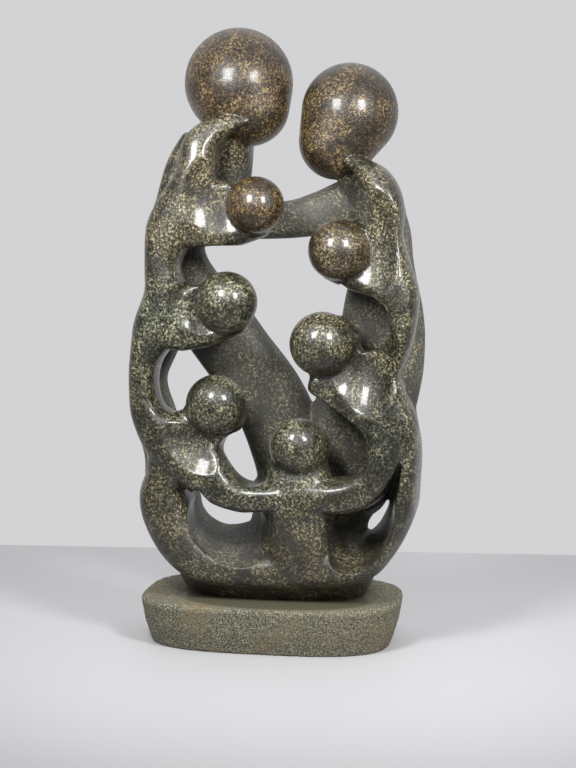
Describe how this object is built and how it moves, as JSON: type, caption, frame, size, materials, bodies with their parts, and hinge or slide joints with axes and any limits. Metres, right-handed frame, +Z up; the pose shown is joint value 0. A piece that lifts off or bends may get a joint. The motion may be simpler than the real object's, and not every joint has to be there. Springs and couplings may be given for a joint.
{
  "type": "family group sculpture",
  "caption": "Stone family group carved in the round: tall parents with ball heads stand joined in an oval of arms that holds their children, on a rounded oblong plinth.",
  "frame": {"origin": "middle of the plinth's flat underside", "axes": "+Z up, -Y towards the front where the children's heads show, +X to the viewer's right"},
  "size_m": [0.2094, 0.114, 0.4199],
  "materials": {
    "serpentine": "polished, the plinth pecked and matt"
  },
  "bodies": {
    "root": {"family_group": "serpentine"}
  },
  "joints": []
}
